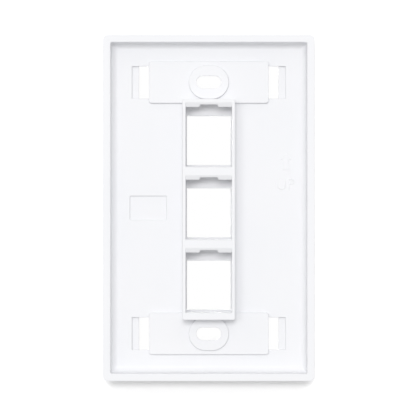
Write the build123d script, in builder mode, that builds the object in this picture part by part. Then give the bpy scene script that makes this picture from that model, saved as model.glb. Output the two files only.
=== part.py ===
# Three-port keystone faceplate for a single-gang wall box, moulded in one piece.
# The room is at -Y and the wall at +Y. The origin is midway between the two box screws, in the plane
# of the rim that meets the wall. Depths are measured from that plane towards the room.
import os

from build123d import *

os.makedirs("parts", exist_ok=True)

# Plate, a standard single-gang outline
plate_width = 69.85
plate_height = 114.3
plate_depth = 7.8
outline_radius = 1.5
front_edge_radius = 3.2
draft_angle = 2
face_wall = 2.0
rim_width = 2.45
hollow_corner_radius = 0.5
rim_root_radius = 2.0
rim_edge_radius = 0.25

# Label pockets, one over each box screw, with a clip-in window's slots at their ends
screw_spacing = 83.34
label_width = 46.3
label_height = 12.0
label_depth = 1.4
label_radius = 0.6
label_back_margin = 0.9
label_back_rise = 1.2
label_back_radius = 0.8
snap_slot_width = 3.33
snap_slot_height = 10.7
hook_seat_width = 2.35
hook_seat_depth = 0.9

# Box screw slots, with a long countersink in front and an oval boss behind
screw_slot_length = 8.2
screw_slot_width = 4.2
head_seat_margin = 1.4
head_seat_depth = 1.6
boss_length = 13.2
boss_height = 11.1
boss_rise = 1.0

# Port column, which stands past the rim into the box
port_count = 3
port_web = 2.55
port_drop = 1.6
port_inner_width = 15.25
column_side_wall = 1.05
column_top_wall = 1.15
column_bottom_wall = 2.55
column_rise = 2.0
column_corner_radius = 0.65

# One port: the front opening, the latch ledge over it and the tab hook under it
opening_width = 14.5
opening_height = 16.3
latch_clearance = 2.75
tab_clearance = 0.6
catch_depth = 1.8
ledge_overhang = 1.5
ledge_nose = 1.2
hook_height = 1.5
hook_lead = 0.3
notch_mouth_width = 6.3
notch_top_width = 5.7
notch_height = 0.8

# Mould insert mark, a shallow blank recess beside the column
insert_width = 12.2
insert_height = 8.0
insert_radius = 0.4
insert_depth = 0.5
insert_side_place = 20.1

# Small edges, and how far a cut runs past the face it leaves
edge_break = 0.12
front_lip_radius = 0.3
overrun = 1.0

# Places worked out from the sizes above
hollow_width = plate_width - 2 * rim_width
hollow_height = plate_height - 2 * rim_width
hollow_depth = plate_depth - face_wall
root_depth = plate_depth - face_wall / 2
label_floor_depth = plate_depth - label_depth
label_back_width = label_width - 2 * snap_slot_width
label_back_height = label_height + 2 * label_back_margin
lip_margin = 2 * front_lip_radius
boss_top_depth = hollow_depth - label_back_rise - boss_rise

ledge_height = opening_height / 2 + latch_clearance
cavity_height = ledge_height + ledge_overhang
hook_tip_height = -opening_height / 2 - tab_clearance
tab_floor_height = hook_tip_height - hook_height
catch_face_depth = catch_depth - column_rise

port_pitch = opening_height + latch_clearance + ledge_overhang + tab_clearance + hook_lead + port_web
column_width = port_inner_width + 2 * column_side_wall
port_span = (port_count - 1) * port_pitch
column_top = port_span / 2 + cavity_height + column_top_wall - port_drop
column_bottom = hook_tip_height - column_bottom_wall - port_span / 2 - port_drop
column_height = column_top - column_bottom
column_centre = (column_top + column_bottom) / 2
port_heights = [port_span / 2 - port_drop - port_pitch * index for index in range(port_count)]
label_heights = [screw_spacing / 2, -screw_spacing / 2]

# Section plane through a port: across it runs the depth, and up it the height
section_plane = Plane(origin=(0, 0, 0), x_dir=(0, -1, 0), z_dir=(-1, 0, 0))


# Plateau behind a label recess, which keeps the face's wall even
with BuildPart() as label_back:
    with BuildSketch(Plane.XZ.offset(root_depth)):
        RectangleRounded(label_back_width, label_back_height, label_back_radius)
    extrude(amount=hollow_depth - label_back_rise - root_depth)
    chamfer(label_back.faces().sort_by(Axis.Y)[-1].edges(), edge_break)

# Oval boss round a screw slot, behind the countersink
with BuildPart() as screw_boss:
    with BuildSketch(Plane.XZ.offset(root_depth)):
        SlotOverall(boss_length, boss_height)
    extrude(amount=boss_top_depth - root_depth)
    chamfer(screw_boss.faces().sort_by(Axis.Y)[-1].edges(), edge_break)

# Countersunk screw slot, cut from the label recess's floor to the boss's top
with BuildPart() as screw_passage:
    with BuildSketch(Plane.XZ.offset(label_floor_depth + overrun)):
        SlotOverall(screw_slot_length, screw_slot_width)
    extrude(amount=boss_top_depth - label_floor_depth - 2 * overrun)
    with BuildSketch(Plane.XZ.offset(label_floor_depth)) as head_seat:
        SlotOverall(screw_slot_length + 2 * head_seat_margin, screw_slot_width + 2 * head_seat_margin)
    with BuildSketch(Plane.XZ.offset(label_floor_depth - head_seat_depth)) as seat_foot:
        SlotOverall(screw_slot_length, screw_slot_width)
    loft(sections=[head_seat.sketch, seat_foot.sketch], ruled=True)

# Walls of the column, before its ports are cut
with BuildPart() as port_column:
    with BuildSketch(Plane.XZ.offset(root_depth)):
        with Locations((0, column_centre)):
            RectangleRounded(column_width, column_height, column_corner_radius)
    extrude(amount=-column_rise - root_depth)
    chamfer(port_column.faces().sort_by(Axis.Y)[-1].edges(), edge_break)

# Front opening of one port, with a soft lip where it meets the face
with BuildPart() as port_window:
    with BuildSketch(Plane.XZ.offset(plate_depth)):
        Rectangle(opening_width + 2 * lip_margin, opening_height + 2 * lip_margin)
    extrude(amount=overrun)
    with BuildSketch(Plane.XZ.offset(plate_depth)):
        Rectangle(opening_width, opening_height)
    extrude(amount=-face_wall - overrun)
    lip_plane = port_window.faces().filter_by(Axis.Y).sort_by(Axis.Y)[1]
    fillet(lip_plane.inner_wires()[0].edges(), front_lip_radius)

# Label recess in the face, with the same soft lip
with BuildPart() as label_recess:
    with BuildSketch(Plane.XZ.offset(plate_depth)):
        Rectangle(label_width + 2 * lip_margin, label_height + 2 * lip_margin)
    extrude(amount=overrun)
    with BuildSketch(Plane.XZ.offset(plate_depth)):
        RectangleRounded(label_width, label_height, label_radius)
    extrude(amount=-label_depth)
    lip_plane = label_recess.faces().filter_by(Axis.Y).sort_by(Axis.Y)[1]
    fillet(lip_plane.inner_wires()[0].edges(), front_lip_radius)

# Space of one port, about its front opening's centre. The section has the latch ledge's slope and nose
# at the top, the pocket for a jack's fixed tab at the bottom, and the tab hook with its lead-in behind it
with BuildPart() as port_space:
    with BuildSketch(section_plane):
        with BuildLine():
            Polyline(
                (hollow_depth, cavity_height),
                (catch_face_depth, cavity_height),
                (catch_face_depth, ledge_height),
                (catch_face_depth - ledge_nose, ledge_height),
                (-column_rise, cavity_height),
                (-column_rise - overrun, cavity_height),
                (-column_rise - overrun, hook_tip_height - hook_lead),
                (-column_rise, hook_tip_height - hook_lead),
                (hook_lead - column_rise, hook_tip_height),
                (catch_face_depth, hook_tip_height),
                (catch_face_depth, tab_floor_height),
                (hollow_depth, tab_floor_height),
                close=True,
            )
        make_face()
    extrude(amount=port_inner_width / 2, both=True)
    with BuildSketch(Plane.XZ.offset(-column_rise - overrun)):
        with BuildLine():
            Polyline(
                (notch_mouth_width / 2, ledge_height - overrun),
                (notch_mouth_width / 2, ledge_height),
                (notch_top_width / 2, ledge_height + notch_height),
                (-notch_top_width / 2, ledge_height + notch_height),
                (-notch_mouth_width / 2, ledge_height),
                (-notch_mouth_width / 2, ledge_height - overrun),
                close=True,
            )
        make_face()
    extrude(amount=catch_depth + overrun)

with BuildPart() as faceplate:
    # Rounded slab, hollow towards the wall
    with BuildSketch(Plane.XZ):
        RectangleRounded(plate_width, plate_height, outline_radius)
    extrude(amount=plate_depth, taper=draft_angle)
    fillet(faceplate.faces().sort_by(Axis.Y)[0].edges(), front_edge_radius)
    with BuildSketch(Plane.XZ):
        RectangleRounded(hollow_width, hollow_height, hollow_corner_radius)
    extrude(amount=hollow_depth, taper=draft_angle, mode=Mode.SUBTRACT)
    hollow_floor = faceplate.faces().filter_by(Axis.Y).sort_by(Axis.Y)[1]
    fillet(hollow_floor.edges(), rim_root_radius)
    rim_face = faceplate.faces().sort_by(Axis.Y)[-1]
    fillet(rim_face.inner_wires()[0].edges(), rim_edge_radius)

    # What stands up from the hollow's floor
    with Locations(*[(0, 0, height) for height in label_heights]):
        add(label_back.part)
        add(screw_boss.part)
    add(port_column.part)

    # Ports
    with Locations(*[(0, 0, height) for height in port_heights]):
        add(port_space.part, mode=Mode.SUBTRACT)
        add(port_window.part, mode=Mode.SUBTRACT)

    # Label recesses in the face, with a clip-in window's snap slots and the seats for its hooks
    with Locations(*[(0, 0, height) for height in label_heights]):
        add(label_recess.part, mode=Mode.SUBTRACT)
    with BuildSketch(Plane.XZ.offset(hollow_depth - label_back_rise - overrun)):
        with GridLocations(label_width - snap_slot_width, screw_spacing, 2, 2):
            Rectangle(snap_slot_width, snap_slot_height)
    extrude(amount=plate_depth, mode=Mode.SUBTRACT)
    with BuildSketch(Plane.XZ.offset(hollow_depth + hook_seat_depth)):
        with GridLocations(label_width + hook_seat_width - snap_slot_width, screw_spacing, 2, 2):
            Rectangle(hook_seat_width + snap_slot_width, snap_slot_height)
    extrude(amount=-hook_seat_depth - label_back_rise, mode=Mode.SUBTRACT)

    # Box screw slots
    with Locations(*[(0, 0, height) for height in label_heights]):
        add(screw_passage.part, mode=Mode.SUBTRACT)

    # Mould insert mark
    with BuildSketch(Plane.XZ.offset(hollow_depth)):
        with Locations((insert_side_place, 0)):
            RectangleRounded(insert_width, insert_height, insert_radius)
    extrude(amount=insert_depth, mode=Mode.SUBTRACT)

faceplate.part.label = "faceplate"
export_step(faceplate.part, "parts/faceplate.step")
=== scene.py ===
import math

import bmesh
import bpy
from bpy.props import FloatProperty, FloatVectorProperty, PointerProperty, StringProperty
from mathutils import Matrix, Vector


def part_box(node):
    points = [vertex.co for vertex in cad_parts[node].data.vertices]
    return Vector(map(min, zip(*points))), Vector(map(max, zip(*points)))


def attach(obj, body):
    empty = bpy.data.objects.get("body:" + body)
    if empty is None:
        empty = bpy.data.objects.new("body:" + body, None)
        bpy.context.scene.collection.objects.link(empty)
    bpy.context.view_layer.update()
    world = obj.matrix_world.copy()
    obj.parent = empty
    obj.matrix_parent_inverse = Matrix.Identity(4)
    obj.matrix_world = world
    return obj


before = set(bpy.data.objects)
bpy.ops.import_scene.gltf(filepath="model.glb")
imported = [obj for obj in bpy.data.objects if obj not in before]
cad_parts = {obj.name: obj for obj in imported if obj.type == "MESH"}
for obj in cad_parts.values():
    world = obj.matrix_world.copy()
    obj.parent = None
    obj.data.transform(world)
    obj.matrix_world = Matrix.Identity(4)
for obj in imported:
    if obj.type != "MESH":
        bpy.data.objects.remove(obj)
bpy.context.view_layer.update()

bl_info = {
    "name": "Keystone faceplate look",
    "version": (1, 0, 0),
    "blender": (4, 5, 0),
    "location": "View3D > Sidebar > Faceplate",
    "description": "Gives a moulded three-port faceplate its plastic, its raised UP mark and a "
                   "white photo stage",
    "category": "Object",
}

MM = 0.001
NODE = "faceplate"
BODY = "root"

cad_low, cad_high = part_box(NODE)

# The photo's frame, and the size of one of its pixels in the plane of the rim
PHOTO_PIXELS = 416
PIXEL = 0.330 * MM

# Corners nearer than this are one
SEAM = 0.0001 * MM

# How far behind the plate a ray starts that looks for its back
RAY_START = 1 * MM


def linear(hex_colour):
    """An sRGB hex colour as the linear colour that shaders and lamps take."""
    shares = [int(hex_colour[start:start + 2], 16) / 255 for start in (0, 2, 4)]
    return tuple(c / 12.92 if c <= 0.04045 else ((c + 0.055) / 1.055) ** 2.4 for c in shares)


class FaceplatePlastic(bpy.types.PropertyGroup):
    colour: FloatVectorProperty(
        name="Colour", description="The plastic's main colour", subtype="COLOR", min=0, max=1,
        default=linear("EEEEF0"))
    flow_colour: FloatVectorProperty(
        name="Flow colour", description="The colour of its faint flow clouds", subtype="COLOR",
        min=0, max=1, default=linear("EBECEF"))
    flow_size: FloatProperty(
        name="Flow size", description="How wide a flow cloud is", unit="LENGTH", default=24 * MM)
    smoothest: FloatProperty(
        name="Smoothest", description="The roughness where the skin is smoothest", min=0, max=1,
        default=0.52)
    roughest: FloatProperty(
        name="Roughest", description="The roughness in the middle of a flow cloud", min=0, max=1,
        default=0.6)
    grain_size: FloatProperty(
        name="Grain size", description="How wide a grain of the mould's texture is",
        unit="LENGTH", default=0.45 * MM)
    grain_height: FloatProperty(
        name="Grain height", description="How high the mould's texture stands", unit="LENGTH",
        default=0.004 * MM)
    edge_radius: FloatProperty(
        name="Edge radius", description="How far the plate's edges and corners look rounded",
        unit="LENGTH", default=0.3 * MM)


class FaceplateMark(bpy.types.PropertyGroup):
    side_place: FloatProperty(
        name="Side place", description="The mark's centre along X, from the plate's centre",
        unit="LENGTH", default=-25.6 * MM)
    arrow_top: FloatProperty(
        name="Arrow top", description="How high the arrow's tip is above the plate's centre",
        unit="LENGTH", default=18.25 * MM)
    arrow_length: FloatProperty(
        name="Arrow length", description="From the arrow's tip to the foot of its stem",
        unit="LENGTH", default=5.65 * MM)
    head_width: FloatProperty(
        name="Head width", description="Across the arrow's head", unit="LENGTH",
        default=3.8 * MM)
    head_length: FloatProperty(
        name="Head length", description="From the arrow's tip to its barbs", unit="LENGTH",
        default=2.2 * MM)
    stem_width: FloatProperty(
        name="Stem width", description="Across the arrow's stem", unit="LENGTH",
        default=2.1 * MM)
    letters: StringProperty(
        name="Letters", description="The word under the arrow", default="UP")
    letter_top: FloatProperty(
        name="Letter top", description="How high the letters reach above the plate's centre",
        unit="LENGTH", default=9.8 * MM)
    letter_height: FloatProperty(
        name="Letter height", description="How tall a capital is", unit="LENGTH",
        default=3.75 * MM)
    word_width: FloatProperty(
        name="Word width", description="Across the whole word", unit="LENGTH",
        default=5.7 * MM)
    rise: FloatProperty(
        name="Rise", description="How far the mark stands up from the plate's back",
        unit="LENGTH", default=0.15 * MM)
    foot: FloatProperty(
        name="Foot", description="How far the mark goes into the plate, to join it",
        unit="LENGTH", default=0.12 * MM)
    edge: FloatProperty(
        name="Edge", description="How wide the bevel on the mark's edges is", unit="LENGTH",
        default=0.12 * MM)


class FaceplateStage(bpy.types.PropertyGroup):
    distance: FloatProperty(
        name="Distance", description="From the camera to the plane of the rim", unit="LENGTH",
        default=1000 * MM)
    camera_side_place: FloatProperty(
        name="Camera side place", description="The camera's place along X", unit="LENGTH",
        default=0.26 * MM)

    paper_colour: FloatVectorProperty(
        name="Paper colour", description="The colour of the paper behind the plate",
        subtype="COLOR", min=0, max=1, default=linear("FFFFFF"))
    paper_gap: FloatProperty(
        name="Paper gap", description="From the plate's face to the paper", unit="LENGTH",
        default=0.05 * MM)
    paper_size: FloatProperty(
        name="Paper size", description="How wide and how high the paper is", unit="LENGTH",
        default=300 * MM)
    window_margin: FloatProperty(
        name="Window margin", description="From the plate's edge in to the paper's window",
        unit="LENGTH", default=2 * MM)
    # The paper's glow is painted light, which washes out the plate's shadow beside and above it
    paper_glow: FloatProperty(
        name="Paper glow", description="How far the paper looks overexposed", min=0,
        default=0.3)
    under_glow: FloatProperty(
        name="Under glow", description="The same under the plate, where its shadow falls",
        min=0, default=0.05)
    glow_end: FloatProperty(
        name="Glow end",
        description="How high above the plate's lower edge the paper glow has faded out",
        unit="LENGTH", default=-0.3 * MM)
    glow_fade: FloatProperty(
        name="Glow fade", description="Over how much height it fades out", unit="LENGTH",
        default=6 * MM)
    glow_side_fade: FloatProperty(
        name="Glow side fade", description="How far in from the plate's sides it fades out",
        unit="LENGTH", default=3 * MM)

    lamp_size: FloatProperty(
        name="Lamp size", description="How wide the key lamp and the side lamp are",
        unit="LENGTH", default=600 * MM)
    lamp_distance: FloatProperty(
        name="Lamp distance", description="How far away they stand", unit="LENGTH",
        default=2600 * MM)
    key_strength: FloatProperty(
        name="Key strength", description="The key lamp's power", unit="POWER", default=20.2)
    key_left: FloatProperty(
        name="Key left", description="How far left of the plate's back the key lamp stands",
        subtype="ANGLE", default=math.radians(1))
    key_up: FloatProperty(
        name="Key up", description="How far above it the key lamp stands", subtype="ANGLE",
        default=math.radians(13.5))
    side_strength: FloatProperty(
        name="Side strength", description="The power of the lamp on the left", unit="POWER",
        default=8.3)
    side_left: FloatProperty(
        name="Side left", description="How far left of the plate's back the side lamp stands",
        subtype="ANGLE", default=math.radians(18))
    side_up: FloatProperty(
        name="Side up", description="How far above it the side lamp stands", subtype="ANGLE",
        default=math.radians(6))

    front_size: FloatProperty(
        name="Front size", description="How wide the lamp on the room's side is",
        unit="LENGTH", default=500 * MM)
    front_distance: FloatProperty(
        name="Front distance", description="How far away it stands", unit="LENGTH",
        default=1300 * MM)
    front_strength: FloatProperty(
        name="Front strength", description="Its power", unit="POWER", default=15)
    front_left: FloatProperty(
        name="Front left", description="How far round from the plate's back it stands",
        subtype="ANGLE", default=math.radians(172))
    front_up: FloatProperty(
        name="Front up", description="How far up it stands", subtype="ANGLE",
        default=math.radians(6))

    wall_sky_strength: FloatProperty(
        name="Wall sky strength",
        description="The strength of the light from all around, on the wall's side", min=0,
        default=0.665)
    room_sky_strength: FloatProperty(
        name="Room sky strength",
        description="The strength of the light from all around, on the room's side", min=0,
        default=0.12)
    sky_blend: FloatProperty(
        name="Sky blend", description="How far the two skies run into each other", min=0,
        default=0.3)
    sky_slope: FloatProperty(
        name="Sky slope",
        description="How much brighter the sky is overhead, and darker underfoot, as a share",
        min=0, max=1, default=0.25)


def add_node(tree, kind, settings=None, inputs=None):
    """A node of that kind, with its settings, and with each input set to a value or linked to a
    socket."""
    node = tree.nodes.new(kind)
    for name, value in (settings or {}).items():
        setattr(node, name, value)
    for name, value in (inputs or {}).items():
        if isinstance(value, bpy.types.NodeSocket):
            tree.links.new(value, node.inputs[name])
        else:
            node.inputs[name].default_value = value
    return node


def new_material(name):
    """An empty node material, and its tree."""
    material = bpy.data.materials.new(name)
    material.use_nodes = True
    material.node_tree.nodes.clear()
    return material, material.node_tree


def rgba(colour):
    """A colour with full cover, as a socket takes it."""
    return (*colour, 1)


def larger(tree, first, second):
    """The larger of two values, as a socket."""
    return add_node(tree, "ShaderNodeMath", {"operation": "MAXIMUM"}, {
        0: first, 1: second}).outputs[0]


def seen_or_mirrored(tree):
    """Whether a ray comes from the camera, or from a mirror or glass in front of it."""
    path = add_node(tree, "ShaderNodeLightPath")
    mirrored = larger(tree, path.outputs["Is Glossy Ray"], path.outputs["Is Transmission Ray"])
    return larger(tree, path.outputs["Is Camera Ray"], mirrored)


def moulded_abs(name, sizes, edge_radius):
    """White ABS, injection moulded: a satin skin that keeps the mould's fine spark-eroded grain,
    with clouds so faint that they only just break up the white where the melt flowed. Its edges
    catch the light as rounded ones do."""
    found = bpy.data.materials.get(name)
    if found:
        return found
    material, tree = new_material(name)
    place = add_node(tree, "ShaderNodeTexCoord").outputs["Object"]
    flow = add_node(tree, "ShaderNodeTexNoise", inputs={
        "Vector": place, "Scale": 1 / sizes.flow_size, "Detail": 2, "Roughness": 0.4})
    # Sockets 6 and 7 take the two colours, and output 2 gives their mix
    colour = add_node(tree, "ShaderNodeMix", {"data_type": "RGBA"}, {
        "Factor": flow.outputs["Fac"], 6: rgba(sizes.colour), 7: rgba(sizes.flow_colour)})
    grain = add_node(tree, "ShaderNodeTexNoise", inputs={
        "Vector": place, "Scale": 1 / sizes.grain_size, "Detail": 3, "Roughness": 0.55})
    sheen = add_node(tree, "ShaderNodeMapRange", inputs={
        "Value": flow.outputs["Fac"], "To Min": sizes.smoothest, "To Max": sizes.roughest})
    edges = add_node(tree, "ShaderNodeBevel", {"samples": 8}, {"Radius": edge_radius})
    # The real grain is finer than a pixel, so it is drawn about three times as coarse
    bump = add_node(tree, "ShaderNodeBump", inputs={
        "Height": grain.outputs["Fac"], "Distance": sizes.grain_height, "Strength": 0.6,
        "Normal": edges.outputs["Normal"]})
    skin = add_node(tree, "ShaderNodeBsdfPrincipled", inputs={
        "Base Color": colour.outputs[2], "Roughness": sheen.outputs["Result"], "IOR": 1.53,
        "Normal": bump.outputs["Normal"]})
    add_node(tree, "ShaderNodeOutputMaterial", inputs={"Surface": skin.outputs["BSDF"]})
    return material


def mark_abs(context):
    """The plate's plastic on the raised mark, whose own edges are bevelled."""
    return moulded_abs("White ABS, moulded mark", context.scene.faceplate_plastic, 0)


def white_paper(sizes):
    """Seamless white paper, matt and bright. Only the camera and mirror-like rays see it, and
    only from the side that it faces, so that it takes the plate's shadow and hides nothing from
    the other side. A painted glow brightens it beside and above the plate, which washes out the
    plate's shadow there, and fades out under the plate's lower edge, where the shadow stays."""
    material, tree = new_material("White paper, seamless matt")
    seen = seen_or_mirrored(tree)
    back = add_node(tree, "ShaderNodeNewGeometry").outputs["Backfacing"]
    shown = add_node(tree, "ShaderNodeMath", {"operation": "SUBTRACT", "use_clamp": True}, {
        0: seen, 1: back})

    place = add_node(tree, "ShaderNodeTexCoord").outputs["Object"]
    parts = add_node(tree, "ShaderNodeSeparateXYZ", inputs={"Vector": place})
    # Painted glow: full beside and above the plate, washing out its shadow there, and down to the
    # under glow below its lower edge, where the shadow is kept
    glow_end = cad_low.z + sizes.glow_end
    above = add_node(tree, "ShaderNodeMapRange", inputs={
        "Value": parts.outputs["Z"],
        "From Min": glow_end, "From Max": glow_end + sizes.glow_fade})
    sideways = add_node(tree, "ShaderNodeMath", {"operation": "ABSOLUTE"}, {
        0: parts.outputs["X"]})
    beside = add_node(tree, "ShaderNodeMapRange", inputs={
        "Value": sideways.outputs[0],
        "From Min": cad_high.x - sizes.glow_side_fade, "From Max": cad_high.x})
    over = larger(tree, above.outputs["Result"], beside.outputs["Result"])
    strength = add_node(tree, "ShaderNodeMapRange", inputs={
        "Value": over, "To Min": sizes.under_glow, "To Max": sizes.paper_glow})

    clear = add_node(tree, "ShaderNodeBsdfTransparent")
    matt = add_node(tree, "ShaderNodeBsdfDiffuse", inputs={"Color": rgba(sizes.paper_colour)})
    # The painted glow, added on top of the light that the paper really gets
    glow = add_node(tree, "ShaderNodeEmission", inputs={
        "Color": rgba(sizes.paper_colour), "Strength": strength.outputs["Result"]})
    bright = add_node(tree, "ShaderNodeAddShader", inputs={
        0: matt.outputs[0], 1: glow.outputs[0]})
    mixed = add_node(tree, "ShaderNodeMixShader", inputs={
        "Fac": shown.outputs[0], 1: clear.outputs[0], 2: bright.outputs[0]})
    add_node(tree, "ShaderNodeOutputMaterial", inputs={"Surface": mixed.outputs[0]})
    return material


def white_room(sizes):
    """Even white light from all around, stronger on the wall's side and overhead. The camera and
    mirror-like rays see plain white instead."""
    world = bpy.data.worlds.new("White room")
    world.use_nodes = True
    tree = world.node_tree
    tree.nodes.clear()
    direction = add_node(tree, "ShaderNodeTexCoord").outputs["Generated"]
    parts = add_node(tree, "ShaderNodeSeparateXYZ", inputs={"Vector": direction})
    level = add_node(tree, "ShaderNodeMapRange", inputs={
        "Value": parts.outputs["Y"], "From Min": -sizes.sky_blend, "From Max": sizes.sky_blend,
        "To Min": sizes.room_sky_strength, "To Max": sizes.wall_sky_strength})
    slope = add_node(tree, "ShaderNodeMapRange", inputs={
        "Value": parts.outputs["Z"], "From Min": -1, "From Max": 1,
        "To Min": 1 - sizes.sky_slope, "To Max": 1 + sizes.sky_slope})
    strength = add_node(tree, "ShaderNodeMath", {"operation": "MULTIPLY"}, {
        0: level.outputs["Result"], 1: slope.outputs["Result"]})
    sky = add_node(tree, "ShaderNodeBackground", inputs={
        "Color": rgba(linear("FFFFFF")), "Strength": strength.outputs[0]})
    white = add_node(tree, "ShaderNodeBackground", inputs={
        "Color": rgba(linear("FFFFFF")), "Strength": 1})
    mixed = add_node(tree, "ShaderNodeMixShader", inputs={
        "Fac": seen_or_mirrored(tree), 1: sky.outputs[0], 2: white.outputs[0]})
    add_node(tree, "ShaderNodeOutputWorld", inputs={"Surface": mixed.outputs[0]})
    return world


def mesh_object(name, form, material):
    """A new object of that bmesh at the origin, with its material, linked to the scene."""
    mesh = bpy.data.meshes.new(name)
    form.to_mesh(mesh)
    form.free()
    mesh.materials.append(material)
    piece = bpy.data.objects.new(name, mesh)
    bpy.context.scene.collection.objects.link(piece)
    return piece


def back_level(x, z):
    """How far back the plate's back lies at a place, found by a ray straight from the wall."""
    start = Vector((x, cad_high.y + RAY_START, z))
    hit, place, _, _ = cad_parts[NODE].ray_cast(start, Vector((0, -1, 0)))
    if not hit:
        raise RuntimeError(f"the plate has no back at x {x:.4f}, z {z:.4f}")
    return place.y


def on_the_back(x, y, z):
    """Turns a shape drawn flat, seen from its +Z side, into the plate's back, seen from the
    wall."""
    turned = Matrix(((-1, 0, 0), (0, 0, 1), (0, 1, 0))).to_4x4()
    return Matrix.Translation((x, y, z)) @ turned


class FACEPLATE_OT_dress(bpy.types.Operator):
    """Give the moulded plate its plastic"""
    bl_idname = "faceplate.dress"
    bl_label = "Dress the plate"

    def execute(self, context):
        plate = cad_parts[NODE]
        sizes = context.scene.faceplate_plastic
        material = moulded_abs("White ABS, moulded satin", sizes, sizes.edge_radius)
        for slot in plate.material_slots:
            slot.material = material
        return {"FINISHED"}


class FACEPLATE_OT_arrow(bpy.types.Operator):
    """Add the raised arrow that points up"""
    bl_idname = "faceplate.arrow"
    bl_label = "Add the raised arrow"

    def execute(self, context):
        sizes = context.scene.faceplate_mark
        barb = -sizes.head_length
        foot = -sizes.arrow_length
        half_head = sizes.head_width / 2
        half_stem = sizes.stem_width / 2
        tip = (0, 0)
        right_side = [(half_head, barb), (half_stem, barb), (half_stem, foot)]
        left_side = [(-x, height) for x, height in reversed(right_side)]
        outline = [tip, *right_side, *left_side]
        form = bmesh.new()
        bottom = form.faces.new([form.verts.new((x, height, 0)) for x, height in outline])
        raised = bmesh.ops.extrude_face_region(form, geom=[bottom])["geom"]
        top_corners = [v for v in raised if isinstance(v, bmesh.types.BMVert)]
        bmesh.ops.translate(form, verts=top_corners, vec=(0, 0, sizes.rise + sizes.foot))
        top_edges = [e for e in form.edges if all(v in top_corners for v in e.verts)]
        bmesh.ops.bevel(form, geom=top_edges, offset=sizes.edge, segments=2, profile=0.5,
                        affect="EDGES", material=-1)

        middle = sizes.arrow_top - sizes.arrow_length / 2
        level = back_level(sizes.side_place, middle)
        place = on_the_back(sizes.side_place, level - sizes.foot, sizes.arrow_top)
        bmesh.ops.transform(form, matrix=place, verts=form.verts)
        bmesh.ops.recalc_face_normals(form, faces=form.faces)
        arrow = mesh_object("up_arrow", form, mark_abs(context))
        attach(arrow, BODY)
        return {"FINISHED"}


class FACEPLATE_OT_letters(bpy.types.Operator):
    """Add the raised letters under the arrow"""
    bl_idname = "faceplate.letters"
    bl_label = "Add the raised letters"

    def execute(self, context):
        sizes = context.scene.faceplate_mark
        curve = bpy.data.curves.new("letters", "FONT")
        curve.body = sizes.letters
        curve.align_x = "CENTER"
        curve.size = sizes.letter_height
        curve.extrude = (sizes.rise + sizes.foot) / 2 - sizes.edge
        curve.bevel_depth = sizes.edge
        curve.bevel_resolution = 1
        curve.offset = -sizes.edge
        curve.resolution_u = 6
        drawn = bpy.data.objects.new("letters", curve)
        context.scene.collection.objects.link(drawn)
        context.view_layer.update()
        depsgraph = context.evaluated_depsgraph_get()
        mesh = bpy.data.meshes.new_from_object(drawn.evaluated_get(depsgraph))
        bpy.data.objects.remove(drawn)
        bpy.data.curves.remove(curve)

        low, high = [[pick(v.co[axis] for v in mesh.vertices) for axis in range(3)]
                     for pick in (min, max)]
        wider = sizes.word_width / (high[0] - low[0])
        taller = sizes.letter_height / (high[1] - low[1])
        to_origin = Matrix.Translation((-(low[0] + high[0]) / 2, -high[1], -low[2]))
        middle = sizes.letter_top - sizes.letter_height / 2
        level = back_level(sizes.side_place, middle)
        place = on_the_back(sizes.side_place, level - sizes.foot, sizes.letter_top)
        mesh.transform(place @ Matrix.Diagonal((wider, taller, 1, 1)) @ to_origin)
        form = bmesh.new()
        form.from_mesh(mesh)
        bpy.data.meshes.remove(mesh)
        bmesh.ops.remove_doubles(form, verts=form.verts, dist=SEAM)
        bmesh.ops.recalc_face_normals(form, faces=form.faces)
        letters = mesh_object("up_letters", form, mark_abs(context))
        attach(letters, BODY)
        return {"FINISHED"}


def sheet_of_paper(name, sizes, level, material):
    """Upright paper at a level, which faces the wall. The plate hides the edges of its window."""
    half = sizes.paper_size / 2
    half_window = [(high - low) / 2 - sizes.window_margin for low, high in zip(cad_low, cad_high)]
    turns = [(-1, -1), (-1, 1), (1, 1), (1, -1)]
    form = bmesh.new()
    outer = [form.verts.new((x * half, level, z * half)) for x, z in turns]
    inner = [form.verts.new((x * half_window[0], level, z * half_window[2])) for x, z in turns]
    for index in range(len(turns)):
        form.faces.new((outer[index - 1], outer[index], inner[index], inner[index - 1]))
    paper = mesh_object(name, form, material)


def softbox(name, size, power, distance, left, up):
    """A square lamp that faces the plate's centre. It stands so far away, and so far left and up
    by these angles, as seen from the plate's back."""
    data = bpy.data.lights.new(name, "AREA")
    data.size = size
    data.energy = power
    lamp = bpy.data.objects.new(name, data)
    level = math.cos(up)
    towards = Vector((math.sin(left) * level, math.cos(left) * level, math.sin(up)))
    lamp.location = towards * distance
    lamp.rotation_euler = (-towards).to_track_quat("-Z", "Y").to_euler()
    bpy.context.scene.collection.objects.link(lamp)


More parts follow.
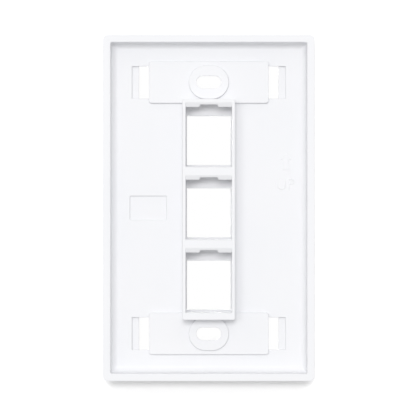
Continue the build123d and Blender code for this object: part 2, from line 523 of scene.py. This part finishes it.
def photo_camera(sizes):
    """A camera that looks straight at the plate's back and sees the photo's frame."""
    data = bpy.data.cameras.new("camera")
    data.lens = data.sensor_width * sizes.distance / (PHOTO_PIXELS * PIXEL)
    camera = bpy.data.objects.new("camera", data)
    camera.location = (sizes.camera_side_place, sizes.distance, 0)
    camera.rotation_euler = (math.radians(90), 0, math.radians(180))
    bpy.context.scene.collection.objects.link(camera)
    return camera


class FACEPLATE_OT_stage(bpy.types.Operator):
    """Set the white paper, the lamps, the light all around and the camera"""
    bl_idname = "faceplate.stage"
    bl_label = "Set the stage"

    def execute(self, context):
        scene = context.scene
        sizes = scene.faceplate_stage
        scene.view_settings.view_transform = "Standard"
        sheet_of_paper("backdrop", sizes, cad_low.y - sizes.paper_gap, white_paper(sizes))
        softbox("key", sizes.lamp_size, sizes.key_strength,
                sizes.lamp_distance, sizes.key_left, sizes.key_up)
        softbox("side", sizes.lamp_size, sizes.side_strength,
                sizes.lamp_distance, sizes.side_left, sizes.side_up)
        softbox("front", sizes.front_size, sizes.front_strength,
                sizes.front_distance, sizes.front_left, sizes.front_up)
        scene.world = white_room(sizes)
        scene.camera = photo_camera(sizes)
        return {"FINISHED"}


class FACEPLATE_PT_panel(bpy.types.Panel):
    """The faceplate's steps, in order"""
    bl_idname = "FACEPLATE_PT_panel"
    bl_label = "Keystone faceplate"
    bl_space_type = "VIEW_3D"
    bl_region_type = "UI"
    bl_category = "Faceplate"

    def draw(self, context):
        for operator in OPERATORS:
            self.layout.operator(operator.bl_idname)


OPERATORS = (FACEPLATE_OT_dress, FACEPLATE_OT_arrow, FACEPLATE_OT_letters, FACEPLATE_OT_stage)
GROUPS = {
    "faceplate_plastic": FaceplatePlastic,
    "faceplate_mark": FaceplateMark,
    "faceplate_stage": FaceplateStage,
}


def register():
    for kind in (*GROUPS.values(), *OPERATORS, FACEPLATE_PT_panel):
        bpy.utils.register_class(kind)
    for name, group in GROUPS.items():
        setattr(bpy.types.Scene, name, PointerProperty(type=group))


def unregister():
    for name in GROUPS:
        delattr(bpy.types.Scene, name)
    for kind in reversed((*GROUPS.values(), *OPERATORS, FACEPLATE_PT_panel)):
        bpy.utils.unregister_class(kind)


def main():
    register()
    bpy.ops.faceplate.dress()
    bpy.ops.faceplate.arrow()
    bpy.ops.faceplate.letters()
    bpy.ops.faceplate.stage()


if __name__ == "__main__":
    main()
